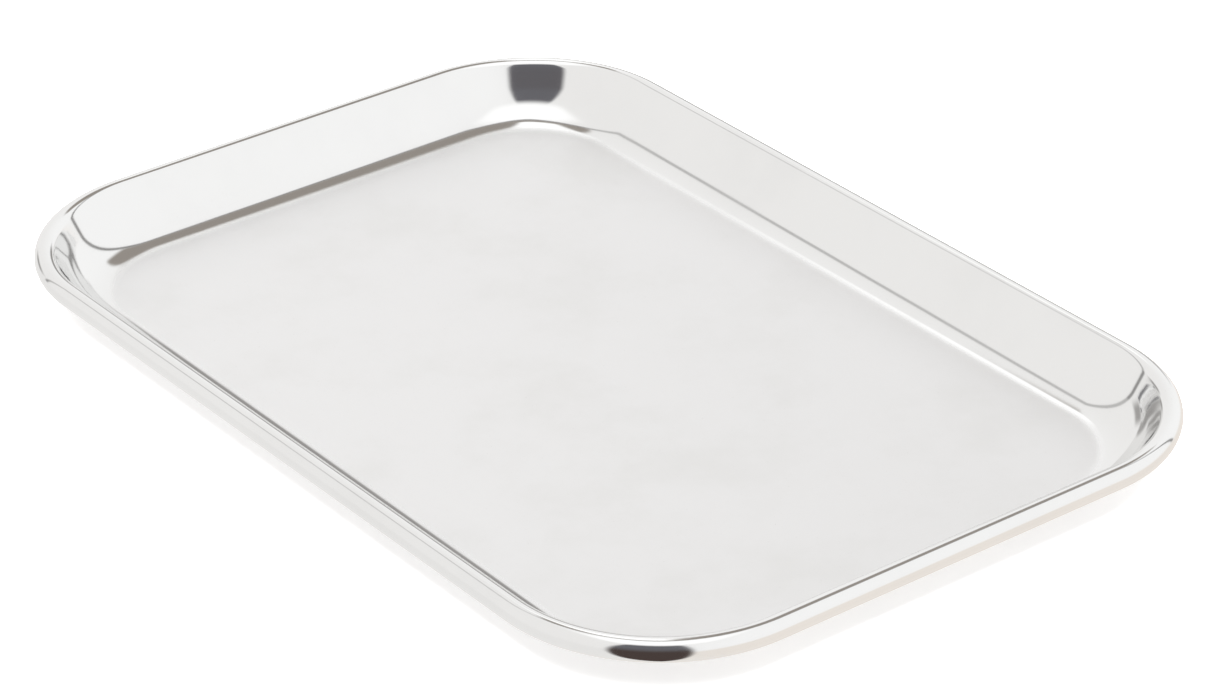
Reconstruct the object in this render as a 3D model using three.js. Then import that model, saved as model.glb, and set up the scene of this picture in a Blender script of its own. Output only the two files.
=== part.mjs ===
import * as THREE from 'three';

// A shallow rectangular steel tray. One drawn sheet makes the floor, the leaning walls and the rim,
// which is rolled outward and under. A bent wire lies inside the roll and stiffens it.
// Millimetres, +Z up, X along the length. The origin is on the table, under the middle of the tray.

const LENGTH = 330.2;                              // over the rim, 13 in
const WIDTH = 228.6;                               // over the rim, 9 in
const HEIGHT = 17.5;                               // table to the top of the rim
const SHEET = 0.7;                                 // thickness of the drawn sheet
const RIM_CORNER_RADIUS = 53.3;                    // outer edge of the rim, seen from above
const ROLL_RADIUS = 3.55;                          // outside of the rolled rim, in section
const WALL_LEAN = THREE.MathUtils.degToRad(28);    // from upright, outward going up
const BEND_RADIUS = 17.5;                          // inside of the sweep from floor to wall
const ROLL_END = THREE.MathUtils.degToRad(-163);   // direction of the raw edge, seen from the roll's axis
const WIRE_RADIUS = 2.4;                           // leaves room all round inside the roll
const WIRE_JOINT = 1.2;                            // gap between the wire's two cut ends

const CORNER_STEPS = 14;                           // facets in each quarter turn of the plan
const BEND_STEPS = 7;                              // facets across the bend
const ROLL_STEPS = [4, 6, 11];                     // facets up to the roll's crest, to its side, to its edge
const WIRE_SIDES = 10;                             // facets round the wire
const WIRE_STEPS = 150;                            // facets along the wire

const CORNER_X = LENGTH / 2 - RIM_CORNER_RADIUS;   // centres of the four corner arcs
const CORNER_Y = WIDTH / 2 - RIM_CORNER_RADIUS;
const ROLL_REACH = RIM_CORNER_RADIUS - ROLL_RADIUS;
const ROLL_HEIGHT = HEIGHT - ROLL_RADIUS;

// Points on an arc. In a section, x is the reach out from a corner centre and y is the height.
function arc(centre, radius, from, to, steps) {
  const points = [];
  for (let step = 0; step <= steps; step += 1) {
    const angle = from + (to - from) * step / steps;
    const spoke = new THREE.Vector2(Math.cos(angle), Math.sin(angle)).multiplyScalar(radius);
    points.push(spoke.add(centre));
  }
  return points;
}

// One face of the sheet, from the edge of the flat floor to the raw edge under the rim. The depth is
// measured down into the sheet from its upper face, so 0 gives that face and SHEET the one behind it.
function sheetFace(depth) {
  const roll = new THREE.Vector2(ROLL_REACH, ROLL_HEIGHT);
  const bendHeight = SHEET + BEND_RADIUS;
  const rise = (ROLL_HEIGHT - bendHeight) * Math.sin(WALL_LEAN);
  const setback = (ROLL_RADIUS + BEND_RADIUS + rise) / Math.cos(WALL_LEAN);
  const bend = new THREE.Vector2(ROLL_REACH - setback, bendHeight);
  const radius = ROLL_RADIUS - depth;
  const [toCrest, toSide, toEdge] = ROLL_STEPS;
  return [
    ...arc(bend, BEND_RADIUS + depth, -Math.PI / 2, -WALL_LEAN, BEND_STEPS),
    ...arc(roll, radius, Math.PI - WALL_LEAN, Math.PI / 2, toCrest),
    ...arc(roll, radius, Math.PI / 2, 0, toSide).slice(1),
    ...arc(roll, radius, 0, ROLL_END, toEdge).slice(1),
  ];
}

// The places along the rounded rectangle where the section is repeated, anticlockwise from above.
function cornerStations() {
  const signs = [[1, 1], [-1, 1], [-1, -1], [1, -1]];
  return signs.flatMap(([signX, signY], quarter) => {
    const centre = new THREE.Vector2(signX * CORNER_X, signY * CORNER_Y);
    const start = quarter * Math.PI / 2;
    const outward = arc(new THREE.Vector2(), 1, start, start + Math.PI / 2, CORNER_STEPS);
    return outward.map((direction) => ({ centre, direction }));
  });
}

function ring(stations, sectionPoint) {
  return stations.map(({ centre, direction }) => {
    const plan = direction.clone().multiplyScalar(sectionPoint.x).add(centre);
    return new THREE.Vector3(plan.x, plan.y, sectionPoint.y);
  });
}

// A closed solid: the rings are stitched together, and the first and last are filled as flat floors.
function stitch(rings) {
  const count = rings[0].length;
  const indices = [];
  for (let row = 0; row + 1 < rings.length; row += 1) {
    for (let here = 0; here < count; here += 1) {
      const next = (here + 1) % count;
      const [a, b] = [row * count + here, row * count + next];
      const [c, d] = [a + count, b + count];
      indices.push(a, c, b, b, c, d);
    }
  }
  const last = (rings.length - 1) * count;
  THREE.ShapeUtils.triangulateShape(rings[0], []).forEach(([a, b, c]) => {
    indices.push(a, b, c);
  });
  THREE.ShapeUtils.triangulateShape(rings.at(-1), []).forEach(([a, b, c]) => {
    indices.push(last + a, last + c, last + b);
  });
  const geometry = new THREE.BufferGeometry().setFromPoints(rings.flat());
  geometry.setIndex(indices);
  geometry.computeVertexNormals();
  return geometry;
}

function panShell() {
  const section = [...sheetFace(0), ...sheetFace(SHEET).reverse()];
  const stations = cornerStations();
  return stitch(section.map((point) => ring(stations, point)));
}

// The wire's centreline, once round the rim, with its open joint in the middle of one long side.
class WireRoute extends THREE.Curve {
  constructor() {
    super();
    this.plan = new THREE.Path();
    this.plan.moveTo(-WIRE_JOINT / 2, CORNER_Y + ROLL_REACH);
    this.plan.absarc(-CORNER_X, CORNER_Y, ROLL_REACH, Math.PI / 2, Math.PI);
    this.plan.absarc(-CORNER_X, -CORNER_Y, ROLL_REACH, Math.PI, Math.PI * 3 / 2);
    this.plan.absarc(CORNER_X, -CORNER_Y, ROLL_REACH, -Math.PI / 2, 0);
    this.plan.absarc(CORNER_X, CORNER_Y, ROLL_REACH, 0, Math.PI / 2);
    this.plan.lineTo(WIRE_JOINT / 2, CORNER_Y + ROLL_REACH);
  }

  getPoint(fraction, target = new THREE.Vector3()) {
    const place = this.plan.getPointAt(fraction);
    return target.set(place.x, place.y, ROLL_HEIGHT);
  }
}

function rimWire() {
  const section = new THREE.Shape(arc(new THREE.Vector2(), WIRE_RADIUS, 0, Math.PI * 2, WIRE_SIDES));
  return new THREE.ExtrudeGeometry(section, {
    steps: WIRE_STEPS,
    extrudePath: new WireRoute(),
    bevelEnabled: false,
  });
}

function part(name, geometry, finish) {
  const mesh = new THREE.Mesh(geometry, new THREE.MeshStandardMaterial(finish));
  mesh.name = name;
  return mesh;
}

const tray = new THREE.Group();
tray.add(part('pan_shell', panShell(), { color: 0xd9d9d7, roughness: 0.12, metalness: 1 }));
tray.add(part('rim_wire', rimWire(), { color: 0xa9a9a6, roughness: 0.4, metalness: 1 }));

export default tray;
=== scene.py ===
"""A shallow steel tray with a rolled, wired rim, on a pale floor in a soft white studio.

Metres, +Z up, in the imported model's frame. The tray's three overall sizes come from the frame,
and its section is worked out from the few named sizes below. Colours are linear.
"""
import math

import bmesh
import bpy
from mathutils import Matrix, Vector


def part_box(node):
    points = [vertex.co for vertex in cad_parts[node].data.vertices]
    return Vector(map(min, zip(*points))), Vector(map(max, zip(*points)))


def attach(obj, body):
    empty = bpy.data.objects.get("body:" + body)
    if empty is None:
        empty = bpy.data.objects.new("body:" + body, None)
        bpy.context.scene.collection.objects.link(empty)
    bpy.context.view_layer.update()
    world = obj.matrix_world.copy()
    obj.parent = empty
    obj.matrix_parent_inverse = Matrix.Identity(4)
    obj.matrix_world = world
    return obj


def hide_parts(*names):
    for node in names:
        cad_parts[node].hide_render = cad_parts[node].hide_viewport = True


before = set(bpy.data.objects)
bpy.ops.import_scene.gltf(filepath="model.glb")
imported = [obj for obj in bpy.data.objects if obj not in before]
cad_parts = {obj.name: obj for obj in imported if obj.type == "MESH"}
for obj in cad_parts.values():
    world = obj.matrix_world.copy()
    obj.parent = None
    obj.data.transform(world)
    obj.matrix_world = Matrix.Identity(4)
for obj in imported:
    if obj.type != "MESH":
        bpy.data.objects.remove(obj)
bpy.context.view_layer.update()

# The tray's section, as the CAD model has it
SHEET = 0.0007
RIM_CORNER_RADIUS = 0.0533
ROLL_RADIUS = 0.00355
WALL_LEAN = math.radians(28)
BEND_RADIUS = 0.0175
ROLL_END = math.radians(-163)
WIRE_RADIUS = 0.0024
WIRE_JOINT = 0.0012

# How finely the visible surface is divided, and how near two points merge
CORNER_STEPS = 36
LONG_SIDE_STEPS = 24
SHORT_SIDE_STEPS = 14
BEND_STEPS = 28
WALL_STEPS = 4
ROLL_STEPS = 48
EDGE_STEPS = 6
FLOOR_STEPS = 12
WIRE_SIDES = 28
MERGE_DISTANCE = 1e-7

# Over how many steps of the bend the floor's satin finish fades, and how satin the underside is
SATIN_STEPS = 6
UNDERSIDE_SATIN = 0.6

# The camera, as angles and distances about the middle of the rim
CAMERA_AZIMUTH = math.radians(52.73)
CAMERA_ELEVATION = math.radians(29.35)
CAMERA_ROLL = math.radians(-0.73)
CAMERA_DISTANCE = 1.3224
CAMERA_RIGHT = 0.00444
CAMERA_UP = -0.00743
CAMERA_LENS = 133.12

low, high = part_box("pan_shell")
CENTRE = (low + high) / 2
LENGTH = high.x - low.x
WIDTH = high.y - low.y
CORNER_X = LENGTH / 2 - RIM_CORNER_RADIUS
CORNER_Y = WIDTH / 2 - RIM_CORNER_RADIUS
ROLL_REACH = RIM_CORNER_RADIUS - ROLL_RADIUS
ROLL_HEIGHT = high.z - ROLL_RADIUS


# ---------------------------------------------------------------- shapes

def arc(centre, radius, start, end, steps):
    """Points on an arc. In a section, x is the reach out from a corner centre and y the height."""
    points = []
    for step in range(steps + 1):
        angle = start + (end - start) * step / steps
        points.append(centre + Vector((math.cos(angle), math.sin(angle))) * radius)
    return points


def between(start, end, steps):
    """The points strictly between two points."""
    return [start.lerp(end, step / steps) for step in range(1, steps)]


def sheet_face(depth):
    """One face of the sheet, from the edge of the flat floor to the raw edge under the rim."""
    roll = Vector((ROLL_REACH, ROLL_HEIGHT))
    bend_height = low.z + SHEET + BEND_RADIUS
    rise = (ROLL_HEIGHT - bend_height) * math.sin(WALL_LEAN)
    setback = (ROLL_RADIUS + BEND_RADIUS + rise) / math.cos(WALL_LEAN)
    bend = Vector((ROLL_REACH - setback, bend_height))
    foot = arc(bend, BEND_RADIUS + depth, -math.pi / 2, -WALL_LEAN, BEND_STEPS)
    curl = arc(roll, ROLL_RADIUS - depth, math.pi - WALL_LEAN, ROLL_END, ROLL_STEPS)
    return foot + between(foot[-1], curl[0], WALL_STEPS) + curl


def raw_edge():
    """The rounded cut edge of the sheet, from its outer face to its inner one."""
    spoke = Vector((math.cos(ROLL_END), math.sin(ROLL_END)))
    centre = Vector((ROLL_REACH, ROLL_HEIGHT)) + spoke * (ROLL_RADIUS - SHEET / 2)
    return arc(centre, SHEET / 2, ROLL_END, ROLL_END - math.pi, EDGE_STEPS)[1:-1]


def stations():
    """Where the section is repeated round the tray: a corner centre or a point between two, and
    the direction out of it."""
    corners = [Vector((x * CORNER_X, y * CORNER_Y)) for x, y in ((1, 1), (-1, 1), (-1, -1), (1, -1))]
    places = []
    for quarter, corner in enumerate(corners):
        start = quarter * math.pi / 2
        turn = arc(Vector((0, 0)), 1, start, start + math.pi / 2, CORNER_STEPS)
        places += [(corner, direction) for direction in turn]
        following = corners[(quarter + 1) % len(corners)]
        steps = LONG_SIDE_STEPS if quarter % 2 == 0 else SHORT_SIDE_STEPS
        places += [(place, turn[-1]) for place in between(corner, following, steps)]
    return places


def place_ring(places, point):
    """One point of the section, repeated at every station."""
    return [Vector((*(centre + direction * point.x), point.y)) for centre, direction in places]


def floor_rings(edge):
    """Rings that shrink from the floor's edge to a line along its middle."""
    reach = CORNER_X - CORNER_Y
    rings = []
    for step in range(1, FLOOR_STEPS + 1):
        share = step / FLOOR_STEPS
        spine = [Vector((max(-reach, min(reach, p.x)), 0, p.z)) for p in edge]
        rings.append([p.lerp(s, share) for p, s in zip(edge, spine)])
    return rings


def make_object(name, rings, capped, satin=None):
    """A mesh from rings of equal length, each closed round, with doubled points merged. The first and
    last ring are capped, or else each shrinks to a line that closes it. `satin` says for each ring
    how far it is rubbed from polished (0) to satin (1)."""
    bm = bmesh.new()
    layer = bm.verts.layers.float.new("satin")
    grid = []
    for row, ring in enumerate(rings):
        verts = [bm.verts.new(point) for point in ring]
        for vert in verts:
            vert[layer] = satin[row] if satin else 0.0
        grid.append(verts)
    for here, there in zip(grid, grid[1:]):
        for k in range(len(here)):
            n = (k + 1) % len(here)
            bm.faces.new((here[k], here[n], there[n], there[k]))
    if capped:
        bm.faces.new(list(reversed(grid[0])))
        bm.faces.new(grid[-1])
    bmesh.ops.remove_doubles(bm, verts=bm.verts, dist=MERGE_DISTANCE)
    bmesh.ops.dissolve_degenerate(bm, edges=bm.edges, dist=MERGE_DISTANCE)
    bmesh.ops.recalc_face_normals(bm, faces=bm.faces)
    mesh = bpy.data.meshes.new(name)
    bm.to_mesh(mesh)
    bm.free()
    mesh.shade_smooth()
    piece = bpy.data.objects.new(name, mesh)
    bpy.context.scene.collection.objects.link(piece)
    return piece


def tray_shell():
    """The sheet: its upper face, the raw edge under the rim and its lower face, in one closed skin.
    The floor is satin, and the finish turns polished over the first steps of the bend."""
    upper = sheet_face(0)
    lower = sheet_face(SHEET)
    lower.reverse()
    places = stations()
    section = upper + raw_edge() + lower
    rings = [place_ring(places, point) for point in section]
    top_floor = floor_rings(rings[0])
    top_floor.reverse()
    under_floor = floor_rings(rings[-1])
    satin = [1.0] * (FLOOR_STEPS + 1)
    satin += [max(0.0, 1 - step / SATIN_STEPS) for step in range(1, BEND_STEPS + 1)]
    satin += [0.0] * (len(section) - 1 - BEND_STEPS) + [UNDERSIDE_SATIN] * FLOOR_STEPS
    return make_object("tray_shell", top_floor + rings + under_floor, False, satin)


def rim_wire():
    """The wire inside the roll, with its open joint in the middle of one long side."""
    places = stations()
    middle = CORNER_STEPS + LONG_SIDE_STEPS // 2
    out = places[middle][1]
    half_joint = Vector((WIRE_JOINT / 2, 0))
    start = (Vector((0, CORNER_Y)) - half_joint, out)
    end = (Vector((0, CORNER_Y)) + half_joint, out)
    route = [start] + places[middle + 1:] + places[:middle] + [end]
    section = arc(Vector((ROLL_REACH, ROLL_HEIGHT)), WIRE_RADIUS, 0, 2 * math.pi, WIRE_SIDES)[:-1]
    rings = [[Vector((*(centre + direction * point.x), point.y)) for point in section]
             for centre, direction in route]
    return make_object("rim_wire_round", rings, True)


# ---------------------------------------------------------------- materials

class Nodes:
    """A short way to write node trees. An input is a number, a colour or another node's output."""

    def __init__(self, tree):
        self.tree = tree
        tree.nodes.clear()

    def add(self, kind, inputs=None, **settings):
        node = self.tree.nodes.new(kind)
        for key, value in settings.items():
            setattr(node, key, value)
        for key, value in (inputs or {}).items():
            if isinstance(value, bpy.types.NodeSocket):
                self.tree.links.new(value, node.inputs[key])
            else:
                node.inputs[key].default_value = value
        return node

    def math(self, operation, *values, clamp=False):
        inputs = dict(enumerate(values))
        return self.add("ShaderNodeMath", inputs, operation=operation, use_clamp=clamp).outputs[0]

    def times(self, a, b):
        return self.math("MULTIPLY", a, b)

    def plus(self, a, b):
        return self.math("ADD", a, b)

    def smooth(self, value, start, end, to_low=0.0, to_high=1.0):
        """A smooth step from one value to another, as the input runs from start to end."""
        inputs = {"Value": value, "From Min": start, "From Max": end, "To Min": to_low, "To Max": to_high}
        node = self.add("ShaderNodeMapRange", inputs, interpolation_type="SMOOTHSTEP")
        return node.outputs["Result"]

    def above(self, value, limit, softness):
        """1 above the limit and 0 below it, with an edge as soft as asked."""
        return self.smooth(value, limit - softness, limit + softness)

    def between(self, value, limits, softness):
        """1 between the two limits and 0 outside them."""
        first, last = limits
        below = self.smooth(value, last - softness, last + softness, 1.0, 0.0)
        return self.times(self.above(value, first, softness), below)

    def noise(self, vector, scale, detail=3.0, roughness=0.5):
        inputs = {"Vector": vector, "Scale": scale, "Detail": detail, "Roughness": roughness}
        return self.add("ShaderNodeTexNoise", inputs).outputs["Fac"]

    def stretched(self, vector, scale, turn=0.0):
        """The place, scaled differently along each axis and turned about +Z."""
        inputs = {"Vector": vector, "Rotation": (0, 0, turn), "Scale": scale}
        return self.add("ShaderNodeMapping", inputs).outputs["Vector"]

    def mix_colour(self, share, a, b):
        """A mix of two colours. The mix node keeps its colour inputs at 6 and 7, and its output at 2."""
        return self.add("ShaderNodeMix", {0: share, 6: a, 7: b}, data_type="RGBA").outputs[2]

    def bump(self, height, size, normal=None):
        """A bump of a given strength and distance, on top of another normal where one is given."""
        strength, distance = size
        inputs = {"Strength": strength, "Distance": distance, "Height": height}
        if normal is not None:
            inputs["Normal"] = normal
        return self.add("ShaderNodeBump", inputs).outputs[0]

    def metal(self, colour, roughness, normal):
        """The material's surface: bare metal."""
        shader = self.add("ShaderNodeBsdfPrincipled", {
            "Base Color": colour, "Metallic": 1.0, "Roughness": roughness, "Normal": normal})
        self.add("ShaderNodeOutputMaterial", {"Surface": shader.outputs[0]})


# The sheet's finish. Noise scales are per metre, an edge is where a noise fades from none to full,
# and each pair of colours is clean and smudged steel.
GRAIN_SCALE = (60, 3800, 3800)
GRAIN_TURN = 0.04
HAIR_STRETCH = 0.004
HAIR_EDGE = (0.70, 0.76)
HAIR_PATCH_SCALE = 28.0
HAIR_PATCH_EDGE = (0.62, 0.72)
SMUDGE_SCALE = 22.0
SMUDGE_EDGE = (0.42, 0.72)
PIT_SCALE = 2400.0
PIT_EDGE = (0.70, 0.78)
WAVE_SCALE = 26.0
POLISHED_COLOURS = ((0.825, 0.825, 0.82, 1), (0.805, 0.805, 0.80, 1))
SATIN_COLOURS = ((0.90, 0.90, 0.90, 1), (0.875, 0.875, 0.87, 1))
PIT_COLOUR = (0.52, 0.51, 0.49, 1)
PIT_SHARE = 0.35

# How rough the finish is, and what each mark adds to that
POLISHED_ROUGHNESS = 0.07
POLISHED_SMUDGE = 0.035
SATIN_ROUGHNESS = 0.42
SATIN_GRAIN = 0.10
SATIN_SMUDGE = 0.025
HAIR_ROUGHNESS = 0.12

# How far each mark stands out, and the strength and distance of the two bumps
GRAIN_RELIEF = 0.6
HAIR_RELIEF = -0.2
PIT_RELIEF = -0.5
WAVE_BUMP = (0.5, 0.00010)
FINE_BUMP = (0.25, 0.00001)

# Three sets of hairline scratches: which way each runs, how fine it is and how dense
HAIR_SETS = ((0.5, 9000, 0.10), (-0.9, 7600, 0.08), (1.9, 10500, 0.06))

# The wire's finish
DIE_LINE_SCALE = (90, 90, 4200)
DULL_SCALE = 120.0
DULL_EDGE = (0.4, 0.7)
WIRE_COLOURS = ((0.60, 0.60, 0.585, 1), (0.46, 0.44, 0.41, 1))
WIRE_ROUGHNESS = 0.30
DIE_LINE_ROUGHNESS = 0.22
WIRE_BUMP = (0.4, 0.00003)

# The stage floor's finish
FLOOR_COLOUR = (0.96, 0.96, 0.96, 1)
FLOOR_ROUGHNESS = 0.9
FLOOR_GLOW = 0.5
GLOW_COLOUR = (1, 1, 1, 1)


def scratches(n, place, turn, scale, density):
    """Fine hairline scratches running one way, in patches."""
    lines = n.noise(n.stretched(place, (scale * HAIR_STRETCH, scale, scale), turn), 1.0, detail=1.0)
    start, end = HAIR_PATCH_EDGE
    patches = n.smooth(n.noise(place, HAIR_PATCH_SCALE, detail=2.0), start - density, end - density)
    return n.times(n.smooth(lines, *HAIR_EDGE), patches)


def new_material(name):
    """A material and its empty node tree."""
    material = bpy.data.materials.new(name)
    material.use_nodes = True
    return material, Nodes(material.node_tree)


def steel_material():
    """Drawn stainless sheet: polished walls and rim, and a floor rubbed to a satin finish."""
    material, n = new_material("polished_steel")
    place = n.add("ShaderNodeTexCoord").outputs["Object"]
    satin = n.add("ShaderNodeAttribute", attribute_name="satin").outputs["Fac"]

    grain = n.noise(n.stretched(place, GRAIN_SCALE, GRAIN_TURN), 1.0, detail=3.0, roughness=0.6)
    hairs = 0.0
    for turn, scale, density in HAIR_SETS:
        hairs = n.math("ADD", hairs, scratches(n, place, turn, scale, density), clamp=True)
    smudge = n.smooth(n.noise(place, SMUDGE_SCALE, detail=5.0, roughness=0.62), *SMUDGE_EDGE)
    pits = n.smooth(n.noise(place, PIT_SCALE, detail=2.0), *PIT_EDGE)

    polished = n.plus(POLISHED_ROUGHNESS, n.times(smudge, POLISHED_SMUDGE))
    rubbed = n.plus(SATIN_ROUGHNESS, n.times(grain, SATIN_GRAIN))
    rubbed = n.plus(rubbed, n.times(smudge, SATIN_SMUDGE))
    roughness = n.add("ShaderNodeMix", {0: satin, 2: polished, 3: rubbed}, data_type="FLOAT").outputs[0]
    roughness = n.math("ADD", roughness, n.times(hairs, HAIR_ROUGHNESS), clamp=True)

    polished_colour = n.mix_colour(smudge, *POLISHED_COLOURS)
    colour = n.mix_colour(satin, polished_colour, n.mix_colour(smudge, *SATIN_COLOURS))
    colour = n.mix_colour(n.times(pits, PIT_SHARE), colour, PIT_COLOUR)

    relief = n.plus(n.times(grain, n.times(satin, GRAIN_RELIEF)), n.times(hairs, HAIR_RELIEF))
    relief = n.plus(relief, n.times(pits, PIT_RELIEF))
    wave = n.bump(n.noise(place, WAVE_SCALE, detail=1.0), WAVE_BUMP)
    fine = n.bump(relief, FINE_BUMP, wave)
    n.metal(colour, roughness, fine)
    return material


def wire_material():
    """Drawn wire: die lines along it and a dull, slightly oxidised skin."""
    material, n = new_material("drawn_wire")
    place = n.add("ShaderNodeTexCoord").outputs["Object"]
    lines = n.noise(n.stretched(place, DIE_LINE_SCALE), 1.0, detail=3.0)
    dull = n.smooth(n.noise(place, DULL_SCALE, detail=4.0), *DULL_EDGE)
    colour = n.mix_colour(dull, *WIRE_COLOURS)
    roughness = n.plus(WIRE_ROUGHNESS, n.times(lines, DIE_LINE_ROUGHNESS))
    n.metal(colour, roughness, n.bump(lines, WIRE_BUMP))
    return material


def floor_material():
    """A pale floor that glows a little, so that the tray's shadow stays faint."""
    material, n = new_material("pale_floor")
    shader = n.add("ShaderNodeBsdfPrincipled", {
        "Base Color": FLOOR_COLOUR, "Roughness": FLOOR_ROUGHNESS,
        "Emission Color": GLOW_COLOUR, "Emission Strength": FLOOR_GLOW})
    n.add("ShaderNodeOutputMaterial", {"Surface": shader.outputs[0]})
    return material


# ---------------------------------------------------------------- studio

FLOOR_SIZE = 14.0
FLOOR_GAP = 0.0002
LAMP_HEIGHT = 2.2
LAMP_SIZE = 3.0
LAMP_POWER = 260

# The tent's places are parts of a unit direction from the tray: a height is how much of it is up, a
# side how much is to the right as seen from the front, a spread how much is to either side and a
# depth how much is to the rear. A blend or softness is how much of that a shape's edge fades over,
# and the opening's are angles.

# The tent round the tray. Its walls are a little brighter and, low down, warmer on one side.
TENT_LEFT = (0.99, 0.98, 0.97, 1)
TENT_RIGHT = (1.09, 1.09, 1.09, 1)
TENT_BLEND = 0.6
GROUND_LEFT = (0.95, 0.94, 0.93, 1)
GROUND_RIGHT = (0.97, 0.91, 0.85, 1)
GROUND_BLEND = 0.15
OVERHEAD = (1.25, 1.25, 1.25, 1)
OVERHEAD_HEIGHTS = (0.87, 0.97)
OVERHEAD_SPREADS = (0.28, 0.40)

# Its open front, which shows the dark room
OPENING_TURN = math.radians(-7)
OPENING_HALF_WIDTH = math.radians(23)
OPENING_SIDE_BLEND = 0.05
OPENING_TOP = math.radians(64)
OPENING_TOP_BLEND = 0.12
OPENING_LOW = (0.078, 0.058, 0.053, 1)
OPENING_HIGH = (0.155, 0.153, 0.168, 1)
ROOM_HEIGHTS = (0.0, 0.7)
LEAST_FLAT = 0.001

# Its back. A dark seam arches over it, bulges forward in the middle and is fainter on the left.
SEAM_DEPTH = 0.50
SEAM_BULGE = 0.20
SEAM_BULGE_REACH = 0.3
SEAM_WIDTH = 0.022
SEAM_FOOT_SOFTNESS = 0.05
SEAM_COLOUR = (0.30, 0.295, 0.29, 1)
FAINT_HEIGHTS = (0.25, 0.82)
FAINT_SOFTNESS = 0.03
FAINT_SIDES = (-0.1, 0.0)
FAINT_SHARE = 0.35

# Behind the seam hangs a brown-grey strip, whose foot rises to the left. A bright panel breaks it.
STRIP_HEIGHT = 0.625
STRIP_TILT = 0.67
STRIP_FOOT_SOFTNESS = 0.015
STRIP_SIDES = (-0.29, 0.38)
STRIP_SOFTNESS = 0.05
STRIP_BLEND = 0.04
STRIP_COLOUR = (0.35, 0.32, 0.29, 1)
PANEL_SIDES = (-0.13, 0.03)
PANEL_SIDE_SOFTNESS = 0.015
PANEL_FOOT = 0.63
PANEL_DEPTH = 0.60
PANEL_SOFTNESS = 0.02
PANEL_COLOUR = (1.3, 1.3, 1.3, 1)

# Low down there are a dark hem on the right and a dim stand on the left: sides, heights and colour
LOW_PATCHES = (
    ((0.0, 0.35), (0.10, 0.27), (0.35, 0.34, 0.33, 1)),
    ((-0.78, -0.58), (0.03, 0.19), (0.42, 0.41, 0.40, 1)),
)
LOW_SIDE_SOFTNESS = 0.06
LOW_HEIGHT_SOFTNESS = 0.04
LOW_DEPTHS = (0.4, 0.5)


def room_directions(n):
    """How much of the direction looked in is to the front, to the side and up, and its flat length."""
    direction = n.add("ShaderNodeTexCoord").outputs["Generated"]
    x, y, up = n.add("ShaderNodeSeparateXYZ", {0: direction}).outputs
    sine, cosine = math.sin(CAMERA_AZIMUTH), math.cos(CAMERA_AZIMUTH)
    front = n.math("SUBTRACT", n.times(x, sine), n.times(y, cosine))
    side = n.plus(n.times(x, cosine), n.times(y, sine))
    flat = n.math("SQRT", n.plus(n.times(x, x), n.times(y, y)))
    return front, side, up, flat


def tent_walls(n, side, spread, up):
    """The white walls, the ground under them and a brighter patch overhead."""
    right = n.smooth(side, -TENT_BLEND, TENT_BLEND)
    tent = n.mix_colour(right, TENT_LEFT, TENT_RIGHT)
    ground = n.mix_colour(right, GROUND_LEFT, GROUND_RIGHT)
    colour = n.mix_colour(n.smooth(up, -GROUND_BLEND, GROUND_BLEND), ground, tent)
    overhead = n.times(n.smooth(up, *OVERHEAD_HEIGHTS), n.smooth(spread, *OVERHEAD_SPREADS, 1.0, 0.0))
    return n.mix_colour(overhead, colour, OVERHEAD)


def tent_back(n, colour, side, spread, up, rear):
    """The seam, the strip behind it, the bright panel, and the hem and stand low down."""
    depth = n.plus(rear, n.smooth(spread, 0.0, SEAM_BULGE_REACH, SEAM_BULGE, 0.0))
    seam = n.math("ABSOLUTE", n.math("SUBTRACT", depth, SEAM_DEPTH))
    seam = n.smooth(seam, SEAM_WIDTH * 0.5, SEAM_WIDTH * 1.5, 1.0, 0.0)
    seam = n.times(seam, n.above(up, 0.0, SEAM_FOOT_SOFTNESS))
    faint = n.times(n.between(up, FAINT_HEIGHTS, FAINT_SOFTNESS), n.smooth(side, *FAINT_SIDES, 1.0, 0.0))
    strength = n.math("SUBTRACT", 1.0, n.times(faint, FAINT_SHARE))
    colour = n.mix_colour(n.times(seam, strength), colour, SEAM_COLOUR)

    foot = n.plus(up, n.times(n.math("MINIMUM", side, 0.0), STRIP_TILT))
    strip = n.smooth(depth, SEAM_DEPTH, SEAM_DEPTH + STRIP_BLEND)
    strip = n.times(strip, n.between(side, STRIP_SIDES, STRIP_SOFTNESS))
    strip = n.times(strip, n.above(foot, STRIP_HEIGHT, STRIP_FOOT_SOFTNESS))
    colour = n.mix_colour(strip, colour, STRIP_COLOUR)

    panel = n.between(side, PANEL_SIDES, PANEL_SIDE_SOFTNESS)
    panel = n.times(panel, n.above(up, PANEL_FOOT, PANEL_SOFTNESS))
    panel = n.times(panel, n.above(depth, PANEL_DEPTH, PANEL_SOFTNESS))
    colour = n.mix_colour(panel, colour, PANEL_COLOUR)

    behind = n.smooth(rear, *LOW_DEPTHS)
    for sides, heights, shade in LOW_PATCHES:
        patch = n.between(side, sides, LOW_SIDE_SOFTNESS)
        patch = n.times(patch, n.between(up, heights, LOW_HEIGHT_SOFTNESS))
        colour = n.mix_colour(n.times(patch, behind), colour, shade)
    return colour


def tent_opening(n, colour, front, side, up, flat):
    """The open front, with the dark room behind it."""
    facing = n.plus(n.times(front, math.cos(OPENING_TURN)), n.times(side, math.sin(OPENING_TURN)))
    facing = n.math("DIVIDE", facing, n.math("MAXIMUM", flat, LEAST_FLAT))
    outer = math.cos(OPENING_HALF_WIDTH + OPENING_SIDE_BLEND)
    inner = math.cos(OPENING_HALF_WIDTH - OPENING_SIDE_BLEND)
    lower = math.sin(OPENING_TOP - OPENING_TOP_BLEND)
    upper = math.sin(OPENING_TOP + OPENING_TOP_BLEND)
    opening = n.times(n.smooth(facing, outer, inner), n.smooth(up, lower, upper, 1.0, 0.0))
    room = n.mix_colour(n.smooth(up, *ROOM_HEIGHTS), OPENING_LOW, OPENING_HIGH)
    return n.mix_colour(opening, colour, room)


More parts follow.
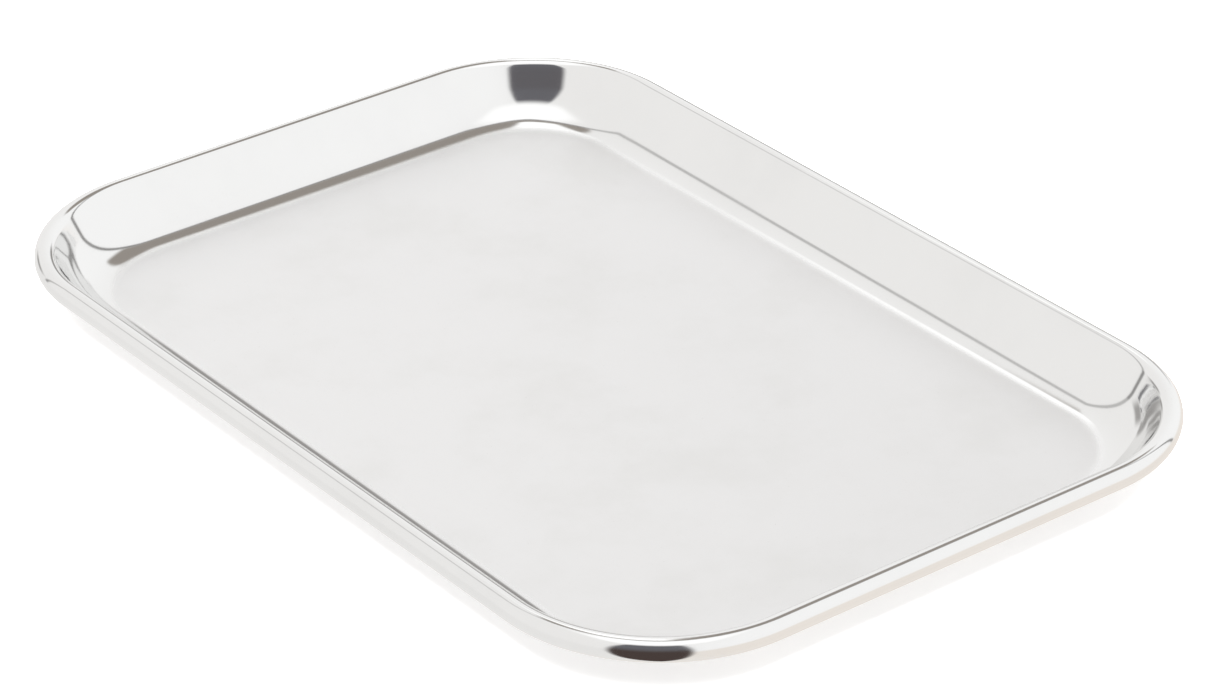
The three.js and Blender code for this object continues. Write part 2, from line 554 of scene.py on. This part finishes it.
def studio():
    """A white tent, open at the front. The directions are the room's own: the front is where the
    opening is, and it stays there wherever the tray is seen from."""
    world = bpy.data.worlds.new("studio")
    bpy.context.scene.world = world
    world.use_nodes = True
    n = Nodes(world.node_tree)
    front, side, up, flat = room_directions(n)
    spread = n.math("ABSOLUTE", side)
    rear = n.times(front, -1.0)
    colour = tent_walls(n, side, spread, up)
    colour = tent_back(n, colour, side, spread, up, rear)
    colour = tent_opening(n, colour, front, side, up, flat)
    background = n.add("ShaderNodeBackground", {"Color": colour, "Strength": 1.0})
    n.add("ShaderNodeOutputWorld", {"Surface": background.outputs[0]})


def stage_floor():
    """The pale floor, just under the tray so that the two faces don't coincide."""
    half = FLOOR_SIZE / 2
    level = low.z - FLOOR_GAP
    mesh = bpy.data.meshes.new("stage_floor")
    corners = [(-half, -half, level), (half, -half, level), (half, half, level), (-half, half, level)]
    mesh.from_pydata(corners, [], [(0, 1, 2, 3)])
    floor = bpy.data.objects.new("stage_floor", mesh)
    bpy.context.scene.collection.objects.link(floor)
    floor.data.materials.append(floor_material())
    floor.visible_glossy = False


def ceiling_lamp():
    """A broad lamp that lights the pale floor. The metal reflects the tent, not this lamp."""
    data = bpy.data.lights.new("ceiling_lamp", "AREA")
    data.size = LAMP_SIZE
    data.energy = LAMP_POWER
    lamp = bpy.data.objects.new("ceiling_lamp", data)
    lamp.location = (CENTRE.x, CENTRE.y, LAMP_HEIGHT)
    lamp.visible_glossy = False
    bpy.context.scene.collection.objects.link(lamp)


def place_camera():
    """The camera, aimed near the middle of the rim, with a long lens."""
    back = Vector((math.sin(CAMERA_AZIMUTH) * math.cos(CAMERA_ELEVATION),
                   -math.cos(CAMERA_AZIMUTH) * math.cos(CAMERA_ELEVATION),
                   math.sin(CAMERA_ELEVATION)))
    level = (-back).cross(Vector((0, 0, 1))).normalized()
    upright = level.cross(-back)
    right = level * math.cos(CAMERA_ROLL) + upright * math.sin(CAMERA_ROLL)
    up = upright * math.cos(CAMERA_ROLL) - level * math.sin(CAMERA_ROLL)
    aim = Vector((CENTRE.x, CENTRE.y, ROLL_HEIGHT))
    eye = aim + back * CAMERA_DISTANCE + right * CAMERA_RIGHT + up * CAMERA_UP
    data = bpy.data.cameras.new("camera")
    data.lens = CAMERA_LENS
    camera = bpy.data.objects.new("camera", data)
    bpy.context.scene.collection.objects.link(camera)
    turn = Matrix((right, up, back)).transposed().to_4x4()
    camera.matrix_world = Matrix.Translation(eye) @ turn
    bpy.context.scene.camera = camera


# ---------------------------------------------------------------- scene

place_camera()
studio()
stage_floor()
ceiling_lamp()
bpy.context.scene.view_settings.view_transform = "Standard"

shell = tray_shell()
shell.data.materials.append(steel_material())
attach(shell, "root")
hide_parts("pan_shell")

wire = rim_wire()
wire.data.materials.append(wire_material())
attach(wire, "root")
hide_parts("rim_wire")
